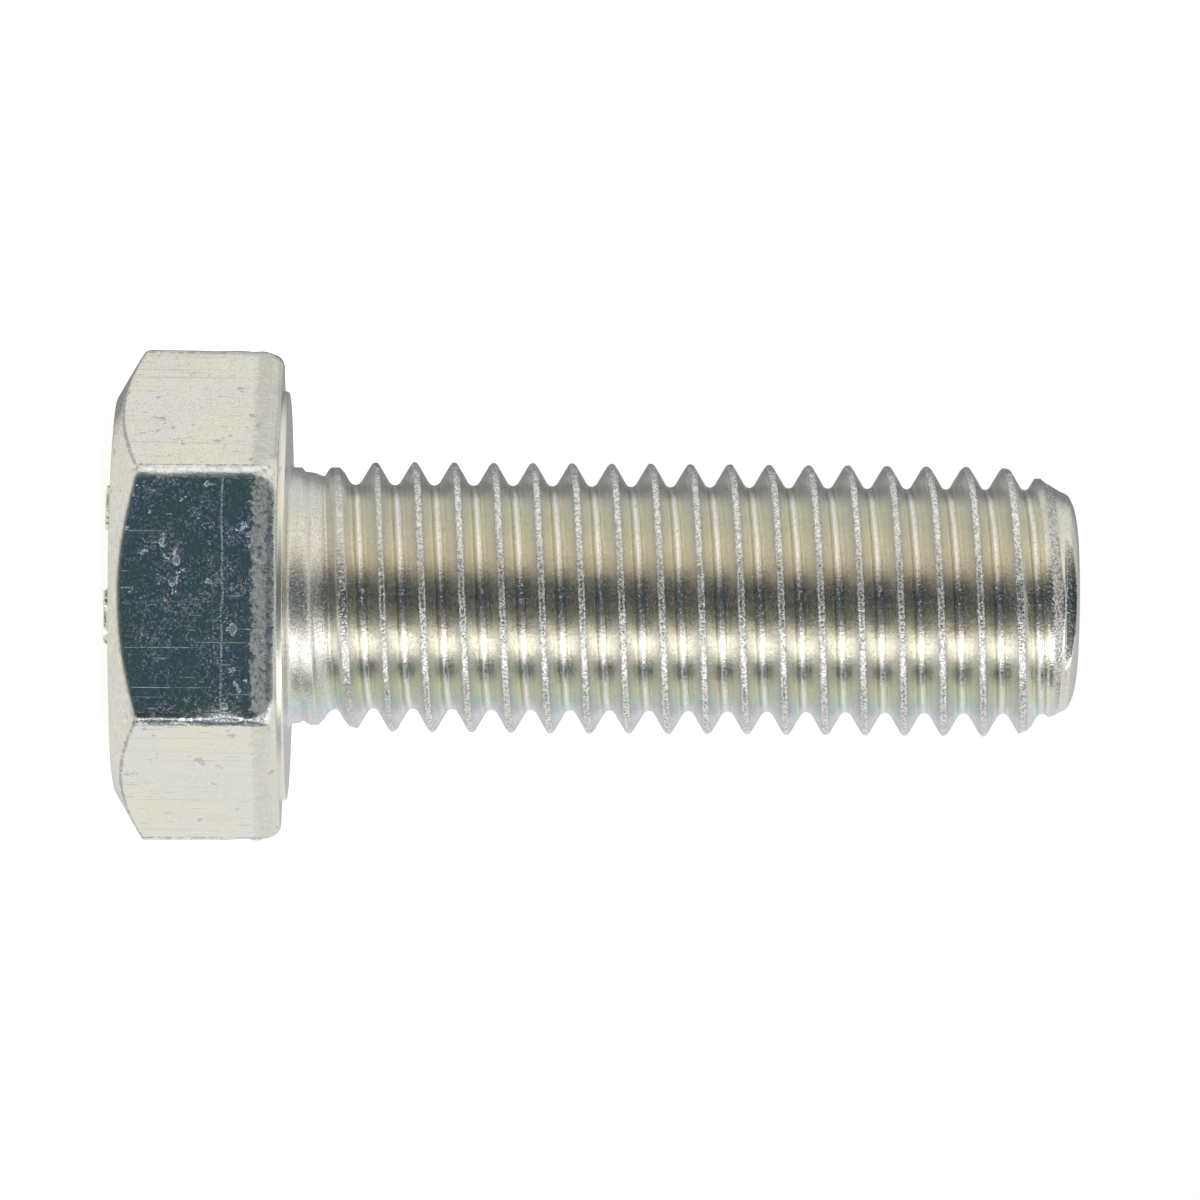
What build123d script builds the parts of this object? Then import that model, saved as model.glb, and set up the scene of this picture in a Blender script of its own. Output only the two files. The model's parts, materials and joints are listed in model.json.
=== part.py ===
from build123d import *
from build123d.topology import SkipClean
import math
import os

# A hex bolt, M12 x 35, with a right-hand thread up to the head. Millimetres.
#
# The bolt is one piece of steel. The origin is the centre of the bearing face
# under the head. +Z runs along the shank to the tip, so the head is below z = 0.
# Two flats of the hexagon face -Y and +Y, and two of its corners are on X.

# Driving dimensions: thread size, length and head size
THREAD_DIAMETER = 12.0
PITCH = 1.75
LENGTH = 35.0                # bearing face to the end of the point
ACROSS_FLATS = 19.0
HEAD_HEIGHT = 7.65           # bearing face to the top of the head

# Hexagon head
WASHER_FACE_RADIUS = 9.1
WASHER_FACE_HEIGHT = 0.27
WASHER_EDGE_ROUNDING = 0.2
HEAD_TOP_RADIUS = 8.73       # the round flat that the top chamfer leaves
TOP_CHAMFER_ANGLE = 30.0     # slope of the chamfer, from the plane of the head
CORNER_ROUNDING = 0.15
CORNER_BEVEL_DEPTH = 0.4     # bevel of the corners beside the washer face
CORNER_BEVEL_HEIGHT = 1.1

# Blank raised bars on top of the head
BAR_CIRCLE_RADIUS = 5.4
BAR_LENGTH = 2.5
BAR_WIDTH = 1.1
BAR_HEIGHT = 0.32
BAR_DIRECTIONS = (225.0, 280.0, 45.0, 100.0)    # degrees from +X

# Neck and point
UNDERHEAD_FILLET = 0.4
NECK_RADIUS = 5.7
NECK_END = 2.6               # height where the crests start to rise above the neck
FULL_CREST_START = 3.95
POINT_START = 32.6           # height where the crests meet the point's cone
POINT_CONE_ANGLE = 31.0      # between the cone and the axis
POINT_EDGE_ROUNDING = 0.3

# ISO metric thread form, 60 degrees between the flanks
CREST_RADIUS = THREAD_DIAMETER / 2
CREST_FLAT = PITCH / 8
FLANK_ANGLE = 30.0           # each flank, from the plane across the axis
FLANK_TAN = math.tan(math.radians(FLANK_ANGLE))
GROOVE_APEX_RADIUS = CREST_RADIUS - (PITCH - CREST_FLAT) / 2 / FLANK_TAN
ROOT_ROUNDING = 0.29
CUTTER_CLEARANCE = 0.08      # how far the groove's cutter stands over the crests

# Helix of the groove's centre line
CREST_AT_FRONT = 4.244       # height where a crest crosses -Y
GROOVE_START = -0.95         # height of the groove's first point, below the shank
TURNS_FROM_FRONT = (GROOVE_START + PITCH / 2 - CREST_AT_FRONT) / PITCH
GROOVE_START_DIRECTION = 270 + 360 * TURNS_FROM_FRONT    # degrees from +X
FLOOR_START_RADIUS = 6.15    # the floor's cone, from the bearing face up
FLOOR_END_RADIUS = 4.84
FLOOR_END = 2.4

SECTORS = 6                  # the thread's blank, in equal sectors round the axis
SECTOR_START = 36.0          # where the first sector begins, in degrees from +X


def shank_outline():
    """Half section of the shank before threading, on the XZ plane."""
    cone_tan = math.tan(math.radians(POINT_CONE_ANGLE))
    end_radius = CREST_RADIUS - (LENGTH - POINT_START) * cone_tan
    fillet_radius = NECK_RADIUS + UNDERHEAD_FILLET
    under_head = RadiusArc(
        (fillet_radius, 0),
        (NECK_RADIUS, UNDERHEAD_FILLET),
        UNDERHEAD_FILLET,
    )
    side = Polyline(
        (NECK_RADIUS, UNDERHEAD_FILLET),
        (NECK_RADIUS, NECK_END),
        (CREST_RADIUS, FULL_CREST_START),
        (CREST_RADIUS, POINT_START),
        (end_radius, LENGTH),
        (0, LENGTH),
        (0, 0),
        (fillet_radius, 0),
    )
    outline = make_face(Curve() + under_head + side)
    end_edge = outline.vertices().sort_by(Axis.Y)[-2:].sort_by(Axis.X)[-1]
    return Plane.XZ * fillet(end_edge, POINT_EDGE_ROUNDING)


def shank_blank():
    """The shank before threading, in sectors that keep the crest in short faces."""
    sector = Rot(Z=SECTOR_START) * revolve(shank_outline(), Axis.Z, 360 / SECTORS)
    blank = sector
    for index in range(1, SECTORS):
        blank += Rot(Z=360 * index / SECTORS) * sector
    return blank


def groove_turn():
    """One turn of what the dies press out: a V with a round root, on a helix."""
    top_radius = CREST_RADIUS + CUTTER_CLEARANCE
    half_width = (top_radius - GROOVE_APEX_RADIUS) * FLANK_TAN
    vee = make_face(Polyline(
        (GROOVE_APEX_RADIUS, 0),
        (top_radius, half_width),
        (top_radius, -half_width),
        close=True,
    ))
    root = vee.vertices().sort_by(Axis.X)[0]
    section = Plane.XZ * fillet(root, ROOT_ROUNDING)
    return sweep(section, path=Helix(PITCH, PITCH, CREST_RADIUS), is_frenet=True)


def groove_floor():
    """Cone that the groove can't cut below, so that it fades in along the neck."""
    cone = Cone(FLOOR_START_RADIUS, FLOOR_END_RADIUS, FLOOR_END)
    return Pos(Z=FLOOR_END / 2) * cone


def threaded_shank():
    """The shank with its thread, pressed in turn by turn from the neck to the tip."""
    shank = shank_blank()
    turn_shape = Rot(Z=GROOVE_START_DIRECTION) * groove_turn()
    floor = groove_floor()
    for turn in range(math.ceil((LENGTH - GROOVE_START) / PITCH)):
        start_height = GROOVE_START + turn * PITCH
        groove = Pos(Z=start_height) * turn_shape
        if start_height - PITCH < FLOOR_END:
            groove -= floor
        shank -= groove
    return shank


def hexagon_head():
    """Hexagon with a chamfered top, bevelled corners and a washer face."""
    hexagon = RegularPolygon(ACROSS_FLATS / 2, 6, major_radius=False)
    hexagon = fillet(hexagon.vertices(), CORNER_ROUNDING)
    prism = Pos(Z=-HEAD_HEIGHT) * extrude(hexagon, HEAD_HEIGHT - WASHER_FACE_HEIGHT)
    corner = ACROSS_FLATS / 2 / math.cos(math.radians(30))
    reach = corner + 1
    chamfer_tan = math.tan(math.radians(TOP_CHAMFER_ANGLE))
    chamfer_height = (reach - HEAD_TOP_RADIUS) * chamfer_tan
    bevel_tan = CORNER_BEVEL_HEIGHT / CORNER_BEVEL_DEPTH
    bevel_height = (reach - corner + CORNER_BEVEL_DEPTH) * bevel_tan
    envelope = make_face(Polyline(
        (0, -HEAD_HEIGHT),
        (HEAD_TOP_RADIUS, -HEAD_HEIGHT),
        (reach, chamfer_height - HEAD_HEIGHT),
        (reach, -WASHER_FACE_HEIGHT - bevel_height),
        (corner - CORNER_BEVEL_DEPTH, -WASHER_FACE_HEIGHT),
        (0, -WASHER_FACE_HEIGHT),
        close=True,
    ))
    return prism & revolve(Plane.XZ * envelope, Axis.Z)


def washer_face():
    """The low round step that bears on the work."""
    disc = Pos(Z=-WASHER_FACE_HEIGHT) * Cylinder(
        WASHER_FACE_RADIUS,
        WASHER_FACE_HEIGHT,
        align=(Align.CENTER, Align.CENTER, Align.MIN),
    )
    rim = disc.edges().sort_by(Axis.Z)[-1]
    return fillet(rim, WASHER_EDGE_ROUNDING)


def head_bars():
    """Blank bars raised from the top of the head, with rounded ends."""
    bar = extrude(SlotOverall(BAR_LENGTH, BAR_WIDTH), BAR_HEIGHT)
    centre = Pos(0, -BAR_CIRCLE_RADIUS, -HEAD_HEIGHT - BAR_HEIGHT)
    return [Rot(Z=direction + 90) * centre * bar for direction in BAR_DIRECTIONS]


def hex_bolt():
    """The whole bolt, as one solid."""
    bolt = threaded_shank()
    bolt += washer_face()
    bolt += hexagon_head()
    for bar in head_bars():
        bolt += bar
    return bolt


with SkipClean():
    parts = {"hex_bolt": hex_bolt()}

os.makedirs("parts", exist_ok=True)
for name, shape in parts.items():
    shape.label = name
    export_step(shape, f"parts/{name}.step")
    print(name, len(shape.solids()), "solid", round(shape.volume, 1), "mm3")
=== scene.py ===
import bpy
import json
import math
import numpy as np
from mathutils import Matrix, Vector


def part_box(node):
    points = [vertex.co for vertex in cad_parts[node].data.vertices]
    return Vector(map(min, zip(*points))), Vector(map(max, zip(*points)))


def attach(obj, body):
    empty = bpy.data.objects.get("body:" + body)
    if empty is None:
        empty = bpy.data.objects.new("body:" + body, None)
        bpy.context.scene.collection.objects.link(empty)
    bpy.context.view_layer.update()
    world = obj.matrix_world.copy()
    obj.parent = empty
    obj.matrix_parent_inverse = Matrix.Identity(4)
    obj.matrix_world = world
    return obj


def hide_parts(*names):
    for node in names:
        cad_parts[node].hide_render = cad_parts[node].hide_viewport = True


# A zinc-plated hex bolt on a pale studio floor. The CAD solid fixes its sizes. One
# closed mesh stands for it: a worn hexagon head with a washer face, a neck, a rolled
# thread on a true helix and a rounded point. Shapes are worked out in millimetres.

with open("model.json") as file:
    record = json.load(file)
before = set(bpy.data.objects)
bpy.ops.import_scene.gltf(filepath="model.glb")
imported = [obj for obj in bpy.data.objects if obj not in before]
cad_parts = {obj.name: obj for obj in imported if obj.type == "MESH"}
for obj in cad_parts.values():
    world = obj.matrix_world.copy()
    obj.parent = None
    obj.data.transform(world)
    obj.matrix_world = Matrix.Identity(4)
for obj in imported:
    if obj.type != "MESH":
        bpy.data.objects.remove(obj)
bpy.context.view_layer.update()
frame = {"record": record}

MM = 0.001
TURN = 2 * math.pi
low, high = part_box("hex_bolt")
mounts = {mount["name"]: mount for mount in frame["record"]["mounts"]}

# Driving sizes, in millimetres. z = 0 is the bearing face and +Z points to the tip.
LENGTH = high.z / MM
ACROSS_FLATS = (high.y - low.y) / MM
CREST_RADIUS = mounts["thread"]["dims"]["r_mm"]
PITCH = 1.75
BAR_HEIGHT = 0.32
HEAD_TOP = low.z / MM + BAR_HEIGHT        # height of the head's flat top

# Hexagon head
APOTHEM = ACROSS_FLATS / 2
CORNER_RADIUS = APOTHEM / math.cos(math.radians(30))
EDGE_FLAT_DEPTH = 0.15                    # how far the worn corners stand back
EDGE_FLAT_TURN = math.radians(7)          # the worn corners face a little to one side
HEXAGON_SHARPNESS = 500                   # higher gives tighter corners
HEAD_TOP_RADIUS = 8.73
CHAMFER_TAN = math.tan(math.radians(30))
BACK_PLANE = -0.27                        # height of the hexagon's plane behind the washer face
WASHER_FACE_RADIUS = 9.1
BEVEL_RADIUS = CORNER_RADIUS - 0.4        # where the corner bevel meets the back plane
BEVEL_TAN = 1.1 / 0.4
SMALLEST_BEVEL = 0.6
ROUND_COLUMNS_RADIUS = 6.2                # inside this the columns are evenly spread
BUNCHED_COLUMNS_RADIUS = 7.6              # outside this they close up at the corners
SEAM_HEIGHT = -2.65                       # fine seam across the -Y flat
SEAM_WANDER = 0.25                        # width of the path it wanders along

# Blank raised bars on the head
BAR_CIRCLE_RADIUS = 5.4
BAR_HALF_WIDTH = 0.55
BAR_HALF_LENGTH = 1.25
BAR_DIRECTIONS = (225, 280, 45, 100)      # degrees from +X

# Wear on the hexagon's corners: a long hollow halfway up each
HOLLOW_HEIGHT = -3.4
HOLLOW_SIZE = 1.3

# Dents in the hexagon's corners: direction in degrees, height, depth and size
DENTS = (
    (300, -2.45, 0.16, 0.32), (300, -2.0, 0.07, 0.25), (240, -5.2, 0.08, 0.3),
    (0, -1.9, 0.1, 0.35), (60, -4.4, 0.14, 0.4), (120, -2.2, 0.1, 0.3), (180, -1.6, 0.06, 0.4),
)

# Neck
NECK_RADIUS = 5.72
FILLET_WIDTH = 0.4
NECK_TOP = 0.55

# Thread form
FLANK_TAN = math.tan(math.radians(30))
CREST_CROWN = 0.4                         # radius of the crest's crown, across the thread
CREST_RISE = 0.012                        # the crown stands this proud, and wear takes it off
ROOT_ROUNDING = 0.3
CREST_APEX = CREST_RADIUS + 0.19          # where the flanks would meet above a crest
ROOT_APEX = CREST_APEX - PITCH / 2 / FLANK_TAN
CREST_PHASE = 4.244 / PITCH - 0.75        # a crest crosses -Y at a height of 4.244

POINT_START = 32.6                        # where the point's cone starts

# Lowest groove and highest crest along the shank: height and radius. Between them the
# thread fades in on the neck and out on the point.
LOWEST_GROOVE = (
    (0.4, 5.74), (0.7, 5.54), (1.1, 5.5), (1.52, 5.34), (2.05, 5.03), (3.0, 4.8), (4.0, 4.0),
)
HIGHEST_CREST = (
    (0.0, 5.74), (2.6, 5.74), (3.1, 5.88), (3.9, 6.01), (4.6, 6.3), (30.6, 6.3), (31.86, 5.95),
    (POINT_START, 5.86), (33.33, 5.54), (33.9, 5.13), (34.3, 4.9), (34.7, 4.76),
)

# Point
POINT_DOME = ((3.6, LENGTH), (4.3, 34.84), (4.74, 34.62))    # radius and height, out to the edge
LEDGE_START = 34.29                       # ledge cut into the point, on the -Y side
LEDGE_CURVE_RADIUS = 9.9
LEDGE_DISTANCE = 4.33                     # from the axis to the middle of the ledge

# Mesh density, and the turns that the thread's grid covers
COLUMNS = 228
CORNER_BUNCHING = 0.8                     # share by which columns close up at the corners
THREAD_STEPS = (0, 0.05, 0.09, 0.13, 0.18, 0.4, 0.615, 0.7, 0.79)    # from a crest, mm
FIRST_TURN = CREST_PHASE - 1              # so that the grid's rows lie along the crests
THREAD_TURNS = 18
FIRST_RING = PITCH * FIRST_TURN
LAST_RING = FIRST_RING + PITCH * (THREAD_TURNS + 1)


# ---------------------------------------------------------------- shape helpers

def lattice_noise(points, cell, seed):
    """Smooth noise from -1 to 1 at points (n, 3) in millimetres, on a seeded lattice."""
    size = 64
    values = np.random.default_rng(seed).uniform(-1, 1, (size, size, size))
    scaled = points / cell
    base = np.floor(scaled).astype(int)
    part = scaled - base
    part = part * part * (3 - 2 * part)
    total = np.zeros(len(points))
    for corner in np.ndindex(2, 2, 2):
        index = (base + corner) % size
        weight = np.prod(np.where(corner, part, 1 - part), axis=1)
        total += weight * values[index[:, 0], index[:, 1], index[:, 2]]
    return total


def smooth_step(value, start, end):
    """0 before start, 1 after end, and a smooth rise between."""
    share = np.clip((value - start) / (end - start), 0, 1)
    return share * share * (3 - 2 * share)


def soft_max(a, b, width=0.05):
    return (a + b + np.sqrt((a - b) ** 2 + width ** 2)) / 2


def soft_min(a, b, width=0.05):
    return (a + b - np.sqrt((a - b) ** 2 + width ** 2)) / 2


def column_angles(bunching):
    """Angles of the columns once round, closer together at the hexagon's corners."""
    even = np.linspace(0, TURN, COLUMNS + 1)
    return even - bunching * np.sin(6 * even) / 6


def fanned_angles(radius):
    """Column angles for a row at this radius: even inside, bunched at the corners outside."""
    share = smooth_step(radius, ROUND_COLUMNS_RADIUS, BUNCHED_COLUMNS_RADIUS)
    return column_angles(CORNER_BUNCHING * share)


def placed(radius, angle, height):
    """Points (rows, columns, 3) from cylindrical coordinates that broadcast together."""
    radius, angle, height = np.broadcast_arrays(radius, angle, height)
    return np.stack((radius * np.cos(angle), radius * np.sin(angle), height), axis=-1)


def radius_and_angle(points):
    """Distance from the axis, and direction round it, of points (n, 3)."""
    return np.hypot(points[:, 0], points[:, 1]), np.arctan2(points[:, 1], points[:, 0])


def pulled_back(corner, other, cut):
    """The place a cut away from corner on the way to other, at most 0.6 of the way."""
    way = other - corner
    length = np.linalg.norm(way, axis=1, keepdims=True)
    return corner + way / length * np.minimum(cut, 0.6 * length)


def straight_rows(start, end, steps):
    """Rows from just past start to end, closer together at both ends."""
    shares = [(1 - math.cos(math.pi * step / steps)) / 2 for step in range(1, steps + 1)]
    return [start + (end - start) * share for share in shares]


def curved_rows(start, corner, end, steps):
    """Rows from just past start to end along a curve that rounds the corner."""
    shares = [step / steps for step in range(1, steps + 1)]
    return [
        (1 - share) ** 2 * start + 2 * share * (1 - share) * corner + share ** 2 * end
        for share in shares
    ]


def rounded_run(corners, cuts, run_steps, arc_steps=5):
    """Rows along straight runs between corners, each corner rounded by a curve.

    corners is a list of (radius, height) that broadcast over the columns, and cuts
    gives how much of the runs beside each inner corner its rounding takes.
    """
    columns = np.zeros((COLUMNS + 1, 2))
    corners = [np.stack(np.broadcast_arrays(*corner), axis=-1) + columns for corner in corners]
    rows = [corners[0]]
    for index, cut in enumerate(cuts, start=1):
        corner = corners[index]
        arc_start = pulled_back(corner, corners[index - 1], cut)
        arc_end = pulled_back(corner, corners[index + 1], cut)
        rows += straight_rows(rows[-1], arc_start, run_steps[index - 1])
        rows += curved_rows(arc_start, corner, arc_end, arc_steps)
    rows += straight_rows(rows[-1], corners[-1], run_steps[-1])
    return rows


# ---------------------------------------------------------------- the bolt's surface

def hexagon_radius(angle):
    """Radius of the hexagon with its corners worn flat, as a soft least of 12 planes."""
    total = 0
    for side in range(12):
        worn_corner = side % 2 == 0
        distance = CORNER_RADIUS - EDGE_FLAT_DEPTH if worn_corner else APOTHEM
        direction = side * TURN / 12 + (EDGE_FLAT_TURN if worn_corner else 0)
        facing = np.clip(np.cos(angle - direction), 0, None)
        total = total + (facing / distance * APOTHEM) ** HEXAGON_SHARPNESS
    return APOTHEM / total ** (1 / HEXAGON_SHARPNESS)


def chamfer_height(radius):
    """Height of the chamfer on the head's top at this radius."""
    return HEAD_TOP + (radius - HEAD_TOP_RADIUS) * CHAMFER_TAN


def bar_height(x, y):
    """How far the blank bars stand up from the head's top at x, y."""
    foot = BAR_HALF_WIDTH + 0.06
    shoulder = BAR_HALF_WIDTH - 0.1
    height = np.zeros_like(x)
    for direction in BAR_DIRECTIONS:
        turn = math.radians(direction)
        outward = x * math.cos(turn) + y * math.sin(turn) - BAR_CIRCLE_RADIUS
        along = np.abs(-x * math.sin(turn) + y * math.cos(turn))
        past_end = np.clip(along - (BAR_HALF_LENGTH - BAR_HALF_WIDTH), 0, None)
        distance = np.hypot(outward, past_end)
        height = np.maximum(height, smooth_step(distance, foot, shoulder))
    return BAR_HEIGHT * height


def from_nearest_crest(angle, height):
    """Distance along the axis to the nearest crest of the helix."""
    turns = height / PITCH - angle / TURN - CREST_PHASE
    return np.abs(turns - np.round(turns)) * PITCH


def thread_radius(angle, height):
    """Radius of the shank: a rounded 60 degree helix, faded out on the neck and point."""
    from_crest = from_nearest_crest(angle, height)
    from_root = PITCH / 2 - from_crest
    flank = CREST_APEX - from_crest / FLANK_TAN
    crown = CREST_RADIUS + CREST_RISE - from_crest ** 2 / (2 * CREST_CROWN)
    root_centre = ROOT_APEX + 2 * ROOT_ROUNDING
    root = root_centre - np.sqrt(np.clip(ROOT_ROUNDING ** 2 - from_root ** 2, 0, None))
    root_half_width = ROOT_ROUNDING * math.cos(math.radians(30))
    radius = np.where(from_crest < PITCH / 4, soft_min(flank, crown), flank)
    radius = np.where(from_root < root_half_width, root, radius)
    radius = soft_min(radius, np.interp(height, *zip(*HIGHEST_CREST)))
    radius = soft_max(radius, np.interp(height, *zip(*LOWEST_GROOVE)))
    return worn_ledge(radius, angle, height)


def ledge_radius(angle):
    """Distance from the axis to the ledge's gently curved face."""
    offset = LEDGE_CURVE_RADIUS - LEDGE_DISTANCE
    turn = angle - 1.5 * math.pi
    return np.sqrt(LEDGE_CURVE_RADIUS ** 2 - (offset * np.sin(turn)) ** 2) - offset * np.cos(turn)


def worn_ledge(radius, angle, height):
    """Cuts the lens-shaped ledge where the last thread runs out on the point."""
    cut = soft_min(radius, ledge_radius(angle), 0.02)
    return radius + (cut - radius) * smooth_step(height, LEDGE_START, LEDGE_START + 0.04)


def head_top_rows():
    """Rows from the middle of the head's top, close together across the raised bars."""
    reach = BAR_HALF_WIDTH + 0.15
    over_bars = np.arange(BAR_CIRCLE_RADIUS - reach, BAR_CIRCLE_RADIUS + reach + 0.05, 0.1)
    inside = np.linspace(0, 4.6, 8)
    radii = np.concatenate((inside, over_bars, (6.4, 7.0, BUNCHED_COLUMNS_RADIUS)))
    rows = []
    for radius in radii:
        row = placed(radius, fanned_angles(radius), HEAD_TOP)
        row[..., 2] -= bar_height(row[..., 0], row[..., 1])
        rows.append(row)
    return rows


def head_side_rows():
    """Rows over the chamfer, down the hexagon's sides and across the washer face."""
    angle = column_angles(CORNER_BUNCHING)
    side = hexagon_radius(angle)
    bevel_rise = np.maximum(SMALLEST_BEVEL, (side - BEVEL_RADIUS) * BEVEL_TAN)
    outline = rounded_run(
        corners=[
            (BUNCHED_COLUMNS_RADIUS, HEAD_TOP),
            (HEAD_TOP_RADIUS, HEAD_TOP),
            (side, chamfer_height(side)),
            (side, BACK_PLANE - bevel_rise),
            (np.minimum(side, BEVEL_RADIUS), BACK_PLANE),
            (WASHER_FACE_RADIUS, BACK_PLANE),
            (WASHER_FACE_RADIUS, 0),
            (BUNCHED_COLUMNS_RADIUS, 0),
        ],
        cuts=(0.12, 0.16, 0.25, 0.4, 0.04, 0.18),
        run_steps=(2, 4, 12, 2, 2, 1, 2),
    )
    return [placed(row[:, 0], angle, row[:, 1]) for row in outline[1:]]


def neck_rows():
    """Rows in from the washer face, round the fillet and up to the thread's grid."""
    even = column_angles(0)
    outline = rounded_run(
        corners=[
            (BUNCHED_COLUMNS_RADIUS, 0),
            (NECK_RADIUS, 0),
            (thread_radius(even, NECK_TOP), NECK_TOP),
        ],
        cuts=(FILLET_WIDTH,),
        run_steps=(4, 1),
        arc_steps=6,
    )
    rows = [placed(row[:, 0], fanned_angles(row[:, 0].mean()), row[:, 1]) for row in outline[1:]]
    for height in np.linspace(NECK_TOP, FIRST_RING, 5)[1:]:
        rows.append(placed(thread_radius(even, height), even, height))
    return rows


def thread_offsets():
    """Rows of one pitch as shares of it, from crest to crest, denser on crest and root."""
    rising = [step / PITCH for step in THREAD_STEPS]
    falling = [1 - share for share in reversed(rising)]
    return np.array(rising + [0.5] + falling)


def thread_grids():
    """Helical grid of the thread, and the two wedges that square off its ends."""
    angle = column_angles(0)
    share_round = angle / TURN
    offsets = thread_offsets()
    rows = np.concatenate([turn + offsets[:-1] for turn in range(THREAD_TURNS)] + [[THREAD_TURNS]])
    sheet = PITCH * (FIRST_TURN + rows[:, None] + share_round)
    lower = FIRST_RING + PITCH * offsets[:, None] * share_round
    upper_start = FIRST_RING + PITCH * (THREAD_TURNS + share_round)
    upper = upper_start + PITCH * offsets[:, None] * (1 - share_round)
    return [placed(thread_radius(angle, height), angle, height) for height in (sheet, lower, upper)]


def end_rows():
    """Rows from the last ring of the thread over the rounded end to its middle."""
    even = column_angles(0)
    dome_radii, dome_heights = zip(*POINT_DOME)
    edge_radius = np.minimum(dome_radii[2], ledge_radius(even))
    inner_radius = np.minimum(dome_radii[1], edge_radius - 0.15)
    outline = rounded_run(
        corners=[
            (thread_radius(even, LAST_RING), LAST_RING),
            (edge_radius, np.interp(edge_radius, dome_radii, dome_heights)),
            (inner_radius, np.interp(inner_radius, dome_radii, dome_heights)),
            POINT_DOME[0],
            (0, LENGTH),
        ],
        cuts=(0.08, 0.2, 0.5),
        run_steps=(2, 2, 2, 8),
    )
    return [placed(row[:, 0], even, row[:, 1]) for row in outline]


def welded(grids):
    """Vertices and faces of the grids, with points at the same place made one."""
    points = np.concatenate([grid.reshape(-1, 3) for grid in grids])
    keys = np.round(points / 1e-5).astype(np.int64)
    _, first, index = np.unique(keys, axis=0, return_index=True, return_inverse=True)
    index = index.reshape(-1)
    faces = []
    start = 0
    for grid in grids:
        rows, columns = grid.shape[:2]
        numbers = index[start:start + rows * columns].reshape(rows, columns)
        start += rows * columns
        quads = np.stack(
            (numbers[:-1, :-1], numbers[:-1, 1:], numbers[1:, 1:], numbers[1:, :-1]),
            axis=-1,
        ).reshape(-1, 4)
        for quad in quads.tolist():
            face = list(dict.fromkeys(quad))
            if len(face) > 2:
                faces.append(face)
    return points[first], faces


def face_weighted_normals(points, faces):
    """Normals where each face counts by its area, so that long flanks stay straight."""
    padded = np.array([face + face[-1:] * (4 - len(face)) for face in faces])
    a, b, c, d = (points[padded[:, corner]] for corner in range(4))
    area = np.cross(c - a, d - b)
    normals = np.zeros_like(points)
    for corner in range(4):
        np.add.at(normals, padded[:, corner], area)
    return normals / np.linalg.norm(normals, axis=1, keepdims=True)


# ---------------------------------------------------------------- wear, and masks for materials

def corner_share(points):
    """1 on the hexagon's upright corners, 0 away from them."""
    radius, angle = radius_and_angle(points)
    off_corner = np.abs((angle / (TURN / 6) + 0.5) % 1 - 0.5) * TURN / 6
    across = off_corner * CORNER_RADIUS
    below_side = hexagon_radius(angle) - radius
    return smooth_step(across, 0.48, 0.22) * smooth_step(below_side, 0.2, 0.05)


def crest_share(points):
    """1 on the thread's crests, 0 on its flanks and roots."""
    radius, angle = radius_and_angle(points)
    height = points[:, 2]
    on_shank = smooth_step(height, 1.4, 2.0) * smooth_step(height, 34.25, 34.1)
    outer = smooth_step(radius, 4.8, 5.0)
    half_width = 0.13 + 0.03 * smooth_step(height, POINT_START, POINT_START + 1)
    first_turn = 0.5 + 0.5 * smooth_step(height, 4.4, 5.2)
    past_crest = from_nearest_crest(angle, height) - half_width
    return smooth_step(past_crest, 0.07, 0.0) * on_shank * outer * first_turn


def rim_share(points):
    """1 on the edge between the hexagon's sides and its top chamfer, 0 away from it."""
    _, angle = radius_and_angle(points)
    below = points[:, 2] - chamfer_height(hexagon_radius(angle))
    return smooth_step(np.where(below > 0, below, -2 * below), 0.3, 0.0)


def stain_share(points):
    """1 along the outlines of the raised bars, where the plating is stained."""
    share = bar_height(points[:, 0], points[:, 1]) / BAR_HEIGHT
    return 4 * share * (1 - share) * (points[:, 2] < HEAD_TOP + 0.1)


def wear(points):
    """Small handling and forging faults, as movement out of the surface, in mm."""
    height = points[:, 2]
    head = smooth_step(height, -0.1, -0.4)
    move = 0.003 * lattice_noise(points, 0.5, 11)
    move += head * 0.010 * lattice_noise(points, 2.6, 12)
    move += head * 0.004 * lattice_noise(points, 0.8, 13)
    chips = 0.035 * smooth_step(lattice_noise(points, 0.8, 14), 0.1, 0.9)
    hollow = 0.03 * np.exp(-((height - HOLLOW_HEIGHT) / HOLLOW_SIZE) ** 2)
    move -= corner_share(points) * (chips + hollow)
    for direction, dent_height, depth, size in DENTS:
        turn = math.radians(direction)
        centre = (CORNER_RADIUS * math.cos(turn), CORNER_RADIUS * math.sin(turn), dent_height)
        distance = np.linalg.norm(points - centre, axis=1)
        move -= depth * np.exp(-(distance / size) ** 2)
    torn = 0.018 * lattice_noise(points, 0.42, 15)
    uneven = 0.02 * lattice_noise(points, 1.7, 16)
    move += crest_share(points) * (torn + uneven - CREST_RISE)
    return move


def store_mask(mesh, name, values):
    attribute = mesh.attributes.new(name, "FLOAT", "POINT")
    attribute.data.foreach_set("value", values.astype(np.float32))


def bolt_mesh():
    """The bolt's closed mesh, with the masks that its materials read."""
    head_grid = np.array([*head_top_rows(), *head_side_rows(), *neck_rows()])
    points, faces = welded([head_grid, *thread_grids(), np.array(end_rows())])
    smooth_normals = face_weighted_normals(points, faces)
    moved = points + smooth_normals * wear(points)[:, None]
    mesh = bpy.data.meshes.new("plated_bolt")
    mesh.from_pydata((moved * MM).tolist(), [], faces)
    masks = {"crest": crest_share, "corner": corner_share, "rim": rim_share, "stain": stain_share}
    for name, share in masks.items():
        store_mask(mesh, name, share(points))
    mesh.shade_smooth()
    mesh.normals_split_custom_set_from_vertices(face_weighted_normals(moved, faces).tolist())
    return mesh


# ---------------------------------------------------------------- shader helpers

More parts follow.
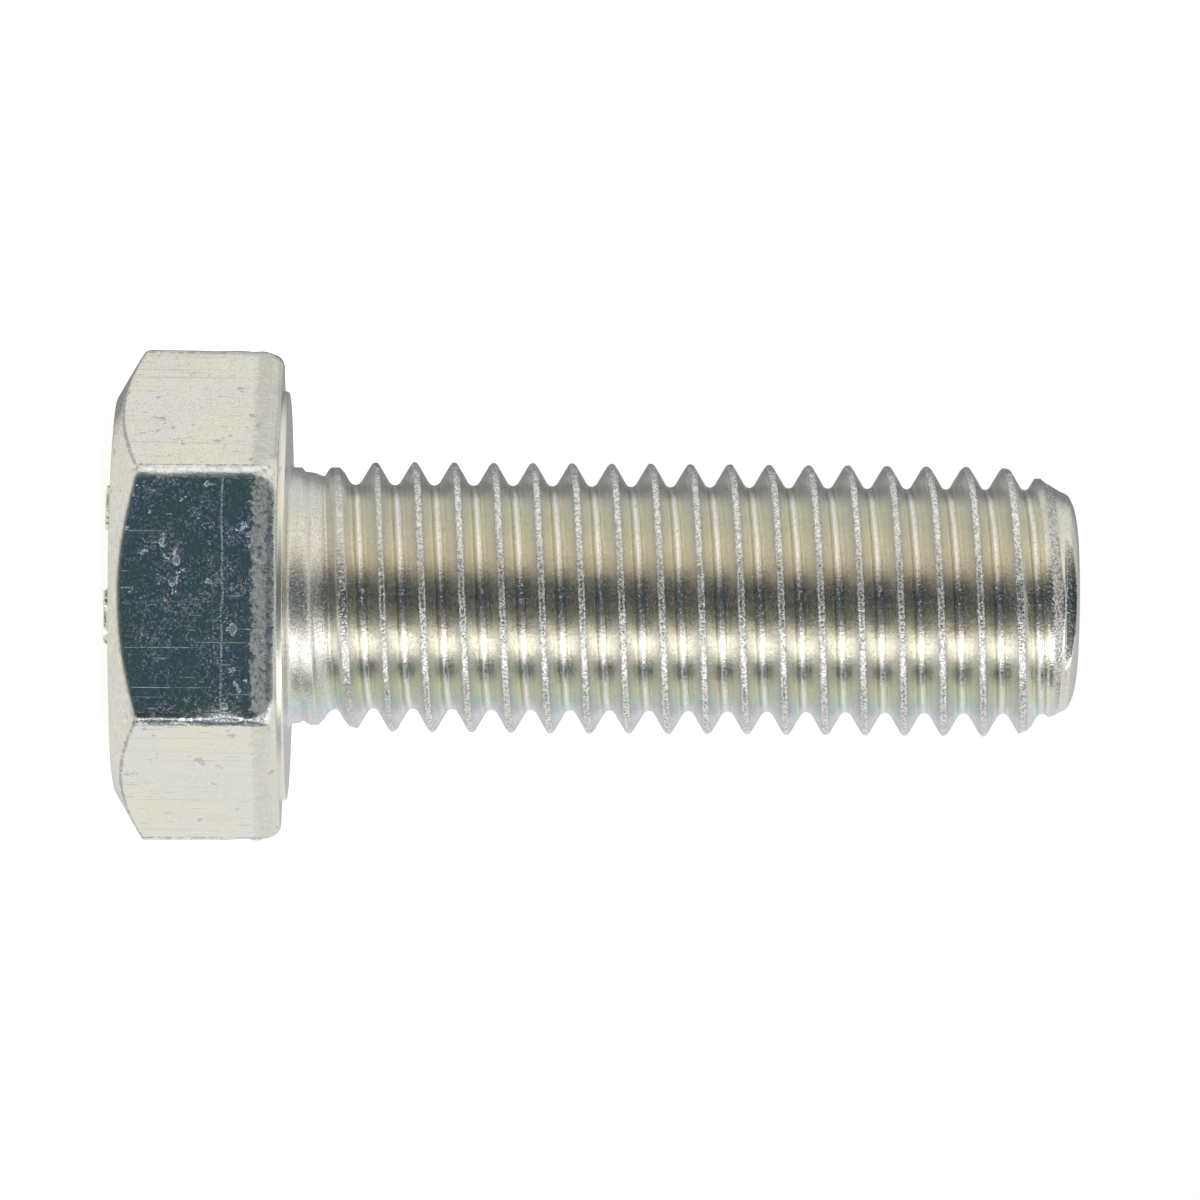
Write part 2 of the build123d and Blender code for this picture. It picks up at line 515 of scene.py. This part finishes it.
class Shader:
    """Short names for adding and linking nodes in one node tree."""

    def __init__(self, tree):
        self.tree = tree

    def link(self, output, node, socket):
        self.tree.links.new(output, node.inputs[socket])

    def add(self, kind, inputs=(), **settings):
        """A node of this kind, with its settings and {socket: value or output}."""
        node = self.tree.nodes.new("ShaderNode" + kind)
        for name, value in settings.items():
            setattr(node, name, value)
        for socket, value in dict(inputs).items():
            if isinstance(value, bpy.types.NodeSocket):
                self.link(value, node, socket)
            else:
                node.inputs[socket].default_value = value
        return node

    def math(self, operation, *values):
        return self.add("Math", enumerate(values), operation=operation).outputs[0]

    def sum(self, first, second):
        return self.math("ADD", first, second)

    def product(self, first, *others):
        """All of the values multiplied together."""
        for value in others:
            first = self.math("MULTIPLY", first, value)
        return first

    def linear(self, value, factor, offset):
        """value x factor + offset."""
        return self.math("MULTIPLY_ADD", value, factor, offset)

    def largest(self, first, *others):
        for value in others:
            first = self.math("MAXIMUM", first, value)
        return first

    def parts(self, vector):
        """The x, y and z of a vector."""
        return self.add("SeparateXYZ", {0: vector}).outputs

    def scaled(self, vector, factors):
        return self.add("VectorMath", {0: vector, 1: factors}, operation="MULTIPLY").outputs[0]

    def noise(self, vector, scale, detail=2.0, roughness=0.5):
        inputs = {"Vector": vector, "Scale": scale, "Detail": detail, "Roughness": roughness}
        return self.add("TexNoise", inputs).outputs[0]

    def step(self, value, start, end, low=0.0, high=1.0):
        """low before start and high after end, with a smooth rise between."""
        inputs = {"Value": value, "From Min": start, "From Max": end, "To Min": low, "To Max": high}
        return self.add("MapRange", inputs, interpolation_type="SMOOTHSTEP").outputs[0]

    def window(self, value, start, full, fade, end):
        """0 up to start, 1 from full to fade, and 0 again past end."""
        return self.product(self.step(value, start, full), self.step(value, end, fade))

    def mix(self, share, first, second):
        inputs = {"Factor": share, 6: first, 7: second}
        return self.add("Mix", inputs, data_type="RGBA").outputs[2]

    def layered(self, color, layers):
        """color with each (share, colour) laid over it in turn."""
        for share, layer_color in layers:
            color = self.mix(share, color, layer_color)
        return color

    def ramp(self, value, stops):
        """Colour from (position, colour) pairs in rising order."""
        node = self.add("ValToRGB", {0: value})
        elements = node.color_ramp.elements
        while len(elements) < len(stops):
            elements.new(0.5)
        for element, (position, color) in zip(elements, stops):
            element.position = position
            element.color = (*color, 1)
        return node.outputs[0]

    def mask(self, name):
        """A mask stored on the mesh."""
        return self.add("Attribute", attribute_name=name).outputs["Fac"]


def grey(level):
    return (level, level, level, 1)


def axis_distance(shader, x, y):
    return shader.math("SQRT", shader.linear(x, x, shader.product(y, y)))


def plated_material(name):
    """A metallic material with its shader helper, and object coordinates in mm."""
    material = bpy.data.materials.new(name)
    material.use_nodes = True
    shader = Shader(material.node_tree)
    material.node_tree.nodes["Principled BSDF"].inputs["Metallic"].default_value = 1.0
    place = shader.scaled(shader.add("TexCoord").outputs["Object"], (1000, 1000, 1000))
    return material, shader, place


def set_surface(shader, color, roughness, relief, depth):
    """Links the surface's colour and roughness, and its relief of this depth in mm."""
    principled = shader.tree.nodes["Principled BSDF"]
    bump = shader.add("Bump", {"Height": relief, "Strength": 1.0, "Distance": depth * MM})
    shader.link(color, principled, "Base Color")
    shader.link(roughness, principled, "Roughness")
    shader.link(bump.outputs[0], principled, "Normal")


# ---------------------------------------------------------------- head material

# Film on the plating: pale on most of the head, deep on the -Y flat, where the deep colours are
# partly film and partly painted reflection colour
CREAM = (0.88, 0.86, 0.77, 1)
COOL_GREY = (0.85, 0.85, 0.83, 1)
PALE_LILAC = (0.86, 0.80, 0.81, 1)
PALE_GREEN = (0.80, 0.82, 0.75, 1)
DEEP_GREEN = (0.62, 0.76, 0.66, 1)
DEEP_BLUE = (0.62, 0.68, 0.86, 1)
WARM_BROWN = (0.88, 0.77, 0.70, 1)

# Marks, worn edges and stains, and painted shade for one worn corner
MARK_GREY = (0.60, 0.59, 0.57, 1)
MARK_BLUE = (0.60, 0.65, 0.70, 1)
STRIP_GREY = (0.64, 0.64, 0.63, 1)
STRIP_SILVER = (0.92, 0.90, 0.89, 1)
CHAMFER_GREY = (0.62, 0.61, 0.59, 1)
BRIGHT_SILVER = (0.94, 0.94, 0.95, 1)
DULL_SILVER = (0.70, 0.73, 0.76, 1)
DARK_PAINTED_SHADE = (0.22, 0.25, 0.28, 1)
LIGHT_PAINTED_SHADE = (0.52, 0.55, 0.58, 1)
OUTLINE_BROWN = (0.42, 0.40, 0.38, 1)
BORDER_BEIGE = (0.78, 0.73, 0.70, 1)
RIM_BROWN = (0.38, 0.36, 0.34, 1)
STAIN_BROWN = (0.22, 0.18, 0.15, 1)


def head_film_and_painted_reflection(shader, place, front):
    """Cream with grey, lilac and green patches, and deep green, blue and brown in front, partly
    film and partly painted reflection colour.
    """
    streaked = shader.scaled(place, (2.6, 2.6, 0.4))
    drawn_out = shader.scaled(place, (1, 1, 0.35))
    pale = shader.layered(CREAM, (
        (shader.step(shader.noise(place, 0.42, 3), 0.42, 0.6), COOL_GREY),
        (shader.step(shader.noise(streaked, 1, 3), 0.59, 0.73), PALE_LILAC),
        (shader.step(shader.noise(drawn_out, 0.8, 4, 0.65), 0.54, 0.74), PALE_GREEN),
    ))
    # deep colours for the -Y flat: partly film, partly painted reflection colour
    deep_film_and_reflection = shader.layered(DEEP_GREEN, (
        (shader.step(shader.noise(place, 0.4, 5, 0.7), 0.32, 0.66), DEEP_BLUE),
        (shader.step(shader.noise(place, 0.8, 4, 0.7), 0.58, 0.74), WARM_BROWN),
    ))
    return shader.mix(front, pale, deep_film_and_reflection)


def seam_line(shader, place, height, front, fine):
    """A fine broken seam that wanders across the -Y flat."""
    above = shader.math("SUBTRACT", height, SEAM_HEIGHT + SEAM_WANDER / 2)
    off_seam = shader.linear(shader.noise(place, 0.7, 4, 0.6), SEAM_WANDER, above)
    line = shader.step(shader.math("ABSOLUTE", off_seam), 0.08, 0.03)
    broken = shader.step(fine, 0.46, 0.56)
    return shader.product(line, broken, front)


def surface_marks(shader, place, height, front, fine, flakes):
    """Pits, flakes, lines along the axis, a seam, scratches and blots, strongest in front."""
    pits = shader.step(shader.linear(front, 0.05, fine), 0.53, 0.75)
    haze = shader.step(shader.noise(place, 0.8, 5, 0.75), 0.36, 0.66, 0.4, 0.8)
    lines = shader.step(shader.noise(shader.scaled(place, (12, 12, 0.09)), 1, 1), 0.66, 0.74)
    slanted = shader.add("Mapping", {0: place, 2: (0.5, 0.35, 0.2), 3: (9, 9, 0.8)}).outputs[0]
    scratches = shader.step(shader.noise(slanted, 1, 1), 0.69, 0.76)
    blots = shader.step(shader.noise(place, 4.2, 3, 0.6), 0.68, 0.75)
    return shader.largest(
        shader.product(pits, haze),
        shader.product(flakes, 0.9),
        shader.product(lines, shader.linear(front, 0.2, 0.5)),
        shader.product(seam_line(shader, place, height, front, fine), 0.75),
        shader.product(scratches, 0.8),
        shader.product(blots, 0.7),
    )


def trimmed_strip(shader, place, height, front, ragged):
    """The grainy strip beside the washer face, where the flats were trimmed."""
    ragged_start = shader.step(shader.linear(ragged, 0.8, height), -1.12, -0.85)
    end = shader.step(height, -0.2, -0.3)
    mottle = shader.step(shader.noise(place, 4.5, 4, 0.75), 0.33, 0.62, 0.42, 1.0)
    strength = shader.linear(front, 0.45, 0.55)
    lip = shader.step(height, -0.78, -0.66, 1.0, 0.75)
    return shader.product(ragged_start, end, mottle, strength, lip)


def worn_corner_and_painted_shade_color(shader, x, y, place, ragged, fine):
    """Bare silver; on the -Y flat's corner towards +X, painted shade lies dark between glints of
    bare silver.
    """
    silver = shader.mix(shader.step(ragged, 0.46, 0.60), BRIGHT_SILVER, DULL_SILVER)
    glints = shader.step(shader.noise(place, 1.3, 3, 0.6), 0.55, 0.60)
    painted_shade = shader.mix(shader.step(fine, 0.40, 0.62), DARK_PAINTED_SHADE, LIGHT_PAINTED_SHADE)
    painted_shade = shader.mix(glints, painted_shade, silver)
    # painted shade: darkens this one corner, the one at the bottom of the camera's view
    painted_shade_corner = shader.product(shader.step(x, 4.0, 4.6), shader.step(y, -6.0, -7.0))
    return shader.mix(painted_shade_corner, silver, painted_shade)


def chamfer_patches(shader, x, y, height, ragged):
    """How dull the chamfer is: most in ragged patches, little between them, 0 off it."""
    cone = shader.linear(axis_distance(shader, x, y), -CHAMFER_TAN, height)
    chamfer_level = HEAD_TOP - HEAD_TOP_RADIUS * CHAMFER_TAN
    on_chamfer = shader.step(cone, chamfer_level + 0.14, chamfer_level + 0.04)
    return shader.product(on_chamfer, shader.step(ragged, 0.34, 0.62, 0.15, 0.62))


def head_material():
    """Bright drawn flats with a passivation film, marks, a trimmed strip and worn edges."""
    material, shader, place = plated_material("plated_head")
    x, y, height = shader.parts(place)
    front = shader.step(y, 0.20 - APOTHEM, 0.08 - APOTHEM)       # 1 on the -Y flat
    fine = shader.noise(place, 11, 3, 0.7)
    ragged = shader.noise(place, 3.5, 4, 0.7)
    rim_mask = shader.mask("rim")
    corner_mask = shader.mask("corner")

    # Where each mark, worn edge and stain lies
    flakes = shader.step(shader.noise(place, 1.2, 6, 0.6), 0.635, 0.665)
    marks = surface_marks(shader, place, height, front, fine, flakes)
    strip = trimmed_strip(shader, place, height, front, ragged)
    rim = shader.step(shader.linear(ragged, 1.4, rim_mask), 1.3, 1.75)
    border = shader.product(shader.step(shader.sum(ragged, rim_mask), 0.75, 1.25), front, 0.6)
    corner = shader.step(shader.sum(corner_mask, ragged), 0.95, 1.15)
    beside_corner = shader.window(corner_mask, 0.05, 0.4, 0.6, 0.95)
    outline = shader.product(beside_corner, shader.step(ragged, 0.42, 0.58, 0.0, 0.7))
    stain = shader.step(shader.mask("stain"), 0.1, 0.8, 0.0, 0.9)
    washer_rim = shader.window(height, -0.26, -0.22, -0.06, -0.02)

    # Their colours, laid over the film from the first to the last
    mark_color = shader.mix(front, MARK_GREY, MARK_BLUE)
    strip_color = shader.mix(front, STRIP_GREY, STRIP_SILVER)
    strip_color = shader.mix(shader.step(fine, 0.40, 0.58, 0.8, 0.0), strip_color, grey(0.5))
    color = shader.layered(head_film_and_painted_reflection(shader, place, front), (
        (shader.product(marks, 0.7), mark_color),
        (shader.product(strip, 0.8), strip_color),
        (chamfer_patches(shader, x, y, height, ragged), CHAMFER_GREY),
        (corner, worn_corner_and_painted_shade_color(shader, x, y, place, ragged, fine)),
        (outline, OUTLINE_BROWN),
        (border, BORDER_BEIGE),
        (shader.product(rim, 0.6), RIM_BROWN),
        (stain, STAIN_BROWN),
    ))

    # Marked and worn places are dull and grainy, and clean film is smooth
    dull = shader.largest(
        shader.product(marks, 0.42),
        strip,
        shader.product(flakes, 0.8),
        shader.product(rim, 0.85),
        border,
        shader.product(corner, 0.5),
        shader.product(washer_rim, 0.6),
    )
    roughness = shader.linear(dull, 0.34, 0.09)
    grain = shader.product(fine, shader.linear(dull, 0.9, 0.06))
    set_surface(shader, color, roughness, grain, 0.026)
    return material


# ---------------------------------------------------------------- thread material

# Film across the bolt, partly painted sheen: the teal and lilac towards x = -6 and 5 to 6 mm paint
# the film's grazing colour where the bolt is seen edge-on. x in mm, and colour
FILM_WIDTH = 12
FILM_WANDER = 1.6                         # how far noise moves the film, in mm
FILM_AND_PAINTED_SHEEN_COLORS = (
    (-6.0, (0.80, 0.77, 0.79)), (-5.0, (0.73, 0.76, 0.77)), (-4.0, (0.75, 0.765, 0.71)),
    (-3.0, (0.78, 0.775, 0.72)), (-1.6, (0.79, 0.765, 0.70)), (-0.4, (0.80, 0.77, 0.76)),
    (1.4, (0.775, 0.77, 0.74)), (3.2, (0.765, 0.77, 0.76)), (4.1, (0.785, 0.80, 0.71)),
    (4.55, (0.72, 0.80, 0.74)), (4.95, (0.64, 0.76, 0.82)), (5.4, (0.79, 0.77, 0.83)),
    (6.0, (0.83, 0.77, 0.82)),
)
ROSE = (0.79, 0.73, 0.735, 1)
TEAL = (0.66, 0.72, 0.70, 1)

# Painted shade and highlights on a flank from crest to root: share of a pitch past the crest, and
# colour
FLANK_PAINTED_LIGHT = (
    (0.025, (0.74, 0.73, 0.73)), (0.115, (0.80, 0.80, 0.79)), (0.215, (0.97, 0.96, 0.94)),
    (0.295, (1.00, 0.99, 0.92)), (0.325, (1.18, 1.16, 1.02)), (0.355, (1.12, 1.10, 0.98)),
    (0.395, (0.72, 0.72, 0.70)), (0.435, (0.93, 0.90, 0.85)), (0.46, (1.0, 0.97, 0.94)),
    (0.48, (1.16, 1.13, 1.13)), (0.50, (1.18, 1.15, 1.16)),
)

# Marks on the thread
SPECK_BROWN = (0.5, 0.44, 0.36, 1)
GRAIN_GREY = (0.5, 0.49, 0.47, 1)
POINT_EDGE_GREY = (0.40, 0.39, 0.38, 1)


def streaks(shader, place, drift_factor):
    """Coordinates that vary fast with radius and height, and slowly round the axis."""
    x, y, z = shader.parts(place)
    drift = shader.product(shader.sum(x, y), drift_factor)
    return shader.add("CombineXYZ", {0: axis_distance(shader, x, y), 1: z, 2: drift}).outputs[0]


def pitch_share(shader, place):
    """Share of a pitch past the last crest: 0 on a crest, 0.5 on a root."""
    x, y, z = shader.parts(place)
    turns = shader.linear(z, 1 / PITCH, -CREST_PHASE)
    angle = shader.math("ARCTAN2", y, x)
    return shader.math("FRACT", shader.linear(angle, -1 / TURN, turns))


def thread_film_and_painted_sheen(shader, x, around):
    """Film that drifts across the bolt from straw through teal to lilac, and in bands. The teal and
    lilac towards the edges in x are painted sheen.
    """
    drift = shader.linear(shader.noise(around, 1.6, 2), FILM_WANDER, x)
    share = shader.linear(drift, 1 / FILM_WIDTH, 0.5 - FILM_WANDER / 2 / FILM_WIDTH)
    # teal and lilac towards the edges in x are painted sheen
    film_and_painted_sheen = shader.ramp(share, [(across / FILM_WIDTH + 0.5, color) for across, color in FILM_AND_PAINTED_SHEEN_COLORS])
    film_and_painted_sheen = shader.mix(shader.step(shader.noise(around, 3.4, 2), 0.56, 0.7), film_and_painted_sheen, ROSE)
    teal_bands = shader.step(shader.noise(around, 2.6, 2, 0.6), 0.6, 0.74, 0.0, 0.7)
    return shader.mix(teal_bands, film_and_painted_sheen, TEAL)


def flank_painted_light(shader, place, height):
    """Painted shade and highlights on the flanks: darker beside the crest, brighter and yellower
    beside the root, and a pale root line painted as a highlight.
    """
    wander = shader.noise(place, 0.8, 3)
    share = shader.linear(wander, 0.05, pitch_share(shader, place))
    painted_light = shader.ramp(shader.math("PINGPONG", share, 0.5), FLANK_PAINTED_LIGHT)
    on_thread = shader.window(height, 1.4, 2.2, 33.9, 34.2)
    return shader.mix(on_thread, grey(1.0), painted_light)


def thread_material():
    """Rolled thread: smooth flanks with lines round the axis, and rough silver crests."""
    material, shader, place = plated_material("plated_thread")
    x, _, height = shader.parts(place)
    around = streaks(shader, place, 0.06)
    ragged = shader.noise(place, 6, 3, 0.65)
    fine = shader.noise(place, 9, 2, 0.7)
    crest = shader.step(shader.linear(ragged, 0.9, shader.mask("crest")), 0.75, 1.15)

    # Specks and grains on the flanks, sparkling silver crests and a dull edge on the point
    specks = shader.step(shader.noise(place, 6, 3, 0.7), 0.66, 0.72)
    grains = shader.step(fine, 0.42, 0.66, 0.0, 0.3)
    sparkle = shader.step(shader.linear(ragged, 0.6, fine), 0.66, 0.95, 0.48, 1.0)
    silver = shader.product(sparkle, shader.step(height, POINT_START, POINT_START + 1, 1.0, 0.72))
    crest_color = shader.add("CombineColor", {0: silver, 1: silver, 2: silver}).outputs[0]
    point_edge = shader.product(
        shader.step(height, LENGTH - 0.5, LENGTH - 0.34),
        shader.step(height, LENGTH - 0.02, LENGTH - 0.14, 0.4, 1.0),
    )
    # the film times the flanks' painted shade and highlights
    film_with_painted_light = shader.scaled(thread_film_and_painted_sheen(shader, x, around), flank_painted_light(shader, place, height))
    color = shader.layered(film_with_painted_light, (
        (shader.product(specks, 0.6), SPECK_BROWN),
        (grains, GRAIN_GREY),
        (crest, crest_color),
        (shader.product(point_edge, 0.6), POINT_EDGE_GREY),
    ))

    # Lines round the axis everywhere, and torn, rougher crests
    neck = shader.step(height, 2.6, 1.2, 0.0, 0.21)
    flank_roughness = shader.step(fine, 0.35, 0.7, 0.05, 0.14)
    roughness = shader.sum(shader.linear(crest, 0.16, flank_roughness), neck)
    lines = shader.noise(around, 9, 4, 0.7)
    bumps = shader.step(shader.noise(place, 12, 2, 0.7), 0.60, 0.70)
    torn = shader.product(fine, shader.linear(crest, 1.1, 0.7))
    relief = shader.linear(bumps, 0.5, shader.sum(torn, shader.product(lines, 0.8)))
    set_surface(shader, color, roughness, relief, 0.02)
    return material


def build_bolt():
    """The visible bolt, in place of the CAD solid."""
    mesh = bolt_mesh()
    bolt = bpy.data.objects.new("plated_bolt", mesh)
    bpy.context.scene.collection.objects.link(bolt)
    mesh.materials.append(head_material())
    mesh.materials.append(thread_material())
    centres = np.zeros(len(mesh.polygons) * 3)
    mesh.polygons.foreach_get("center", centres)
    on_shank = (centres.reshape(-1, 3)[:, 2] > 0.02 * MM).astype(np.int32)
    mesh.polygons.foreach_set("material_index", on_shank)
    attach(bolt, "root")
    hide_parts("hex_bolt")


# ---------------------------------------------------------------- studio

# Light round the bolt's axis: degrees from -Y toward -X, and colour. Dark gaps and a
# bright strip in front give the bolt its shape, and a darker stretch lies behind it.
LIGHT_RING = (
    (-180, (0.50, 0.50, 0.50)), (-168, (0.80, 0.80, 0.82)), (-140, (0.83, 0.83, 0.80)),
    (-110, (0.84, 0.84, 0.80)), (-101, (0.92, 0.92, 0.87)), (-94, (0.45, 0.50, 0.50)),
    (-88, (0.05, 0.09, 0.11)), (-70, (0.05, 0.09, 0.11)), (-65, (1.0, 0.99, 0.95)),
    (-41, (1.0, 0.99, 0.95)), (-35, (0.40, 0.40, 0.37)), (-22, (0.20, 0.21, 0.20)),
    (-8, (0.055, 0.085, 0.100)), (17, (0.055, 0.085, 0.100)), (25, (0.28, 0.27, 0.25)),
    (36, (0.93, 0.91, 0.82)), (60, (1.06, 1.03, 0.93)), (85, (0.88, 0.87, 0.81)),
    (110, (0.86, 0.85, 0.80)), (122, (0.84, 0.83, 0.79)), (131, (0.50, 0.50, 0.49)),
    (142, (0.25, 0.25, 0.25)), (168, (0.24, 0.24, 0.24)), (180, (0.36, 0.36, 0.36)),
)
EVEN_LIGHT = (0.86, 0.85, 0.80, 1)        # on a slant from behind, and past the bolt's ends
STRIP_STRENGTH = 1.6                      # what the bright strip adds
STRIP_EDGES = (-65, -61, -43, -37)        # degrees where it starts, is full, fades and ends


def sine(degrees):
    return math.sin(math.radians(degrees))


def studio_light():
    """Soft light from all round, shaped by LIGHT_RING, on a white background."""
    world = bpy.data.worlds.new("studio")
    bpy.context.scene.world = world
    world.use_nodes = True
    shader = Shader(world.node_tree)
    background = world.node_tree.nodes["Background"]
    x, y, z = shader.parts(shader.add("TexCoord").outputs["Generated"])
    angle = shader.math("ARCTAN2", shader.product(x, -1.0), shader.product(y, -1.0))
    stops = [(degrees / 360 + 0.5, color) for degrees, color in LIGHT_RING]
    ring = shader.ramp(shader.linear(angle, 1 / TURN, 0.5), stops)

    steepness = shader.math("ABSOLUTE", z)
    past_front = shader.largest(
        shader.step(angle, math.radians(112), math.radians(135)),
        shader.step(angle, math.radians(-60), math.radians(-66)),
    )
    behind = shader.product(past_front, shader.step(steepness, sine(21), sine(33)))
    at_ends = shader.step(steepness, sine(70), sine(81))
    light = shader.mix(shader.largest(behind, at_ends), ring, EVEN_LIGHT)

    seen = shader.add("LightPath").outputs["Is Camera Ray"]
    shader.link(shader.mix(seen, light, grey(1.0)), background, "Color")
    strip = shader.product(
        shader.window(angle, *(math.radians(degrees) for degrees in STRIP_EDGES)),
        shader.math("SUBTRACT", 1.0, at_ends),
        shader.math("SUBTRACT", 1.0, seen),
    )
    shader.link(shader.linear(strip, STRIP_STRENGTH, 1.0), background, "Strength")


def build_floor():
    """A wide pale floor under the head, kept out of the bolt's reflections."""
    reach = 3000 * MM
    mesh = bpy.data.meshes.new("floor")
    corners = [(-reach, -reach, 0), (reach, -reach, 0), (reach, reach, 0), (-reach, reach, 0)]
    mesh.from_pydata(corners, [], [(0, 1, 2, 3)])
    plane = bpy.data.objects.new("floor", mesh)
    plane.location.z = low.z - 0.03 * MM      # just under the raised bars
    plane.visible_glossy = False
    bpy.context.scene.collection.objects.link(plane)
    material = bpy.data.materials.new("pale_floor")
    material.use_nodes = True
    principled = material.node_tree.nodes["Principled BSDF"]
    principled.inputs["Base Color"].default_value = grey(0.8)
    principled.inputs["Roughness"].default_value = 1.0
    principled.inputs["Specular IOR Level"].default_value = 0.0
    principled.inputs["Emission Color"].default_value = grey(1.0)
    principled.inputs["Emission Strength"].default_value = 0.62
    mesh.materials.append(material)


def build_camera():
    """Long lens beside the bolt, a little nearer its head, with the tip to the right."""
    aim = Vector((0.068, 0, 13.84)) * MM
    eye = Vector((0.068, -400, 11.04)) * MM
    tilt = 0.0081                         # the bolt's tip hangs this much, in radians
    data = bpy.data.cameras.new("camera")
    data.lens = 269.8
    data.sensor_width = 36
    data.clip_start = 0.01
    camera = bpy.data.objects.new("camera", data)
    backward = (eye - aim).normalized()
    right = Vector((-math.sin(tilt), 0, math.cos(tilt)))
    right = (right - backward * right.dot(backward)).normalized()
    up = backward.cross(right)
    turned = Matrix((right, up, backward)).transposed().to_4x4()
    camera.matrix_world = Matrix.Translation(eye) @ turned
    bpy.context.scene.collection.objects.link(camera)
    bpy.context.scene.camera = camera


build_bolt()
build_floor()
studio_light()
build_camera()
bpy.context.scene.view_settings.view_transform = "Standard"
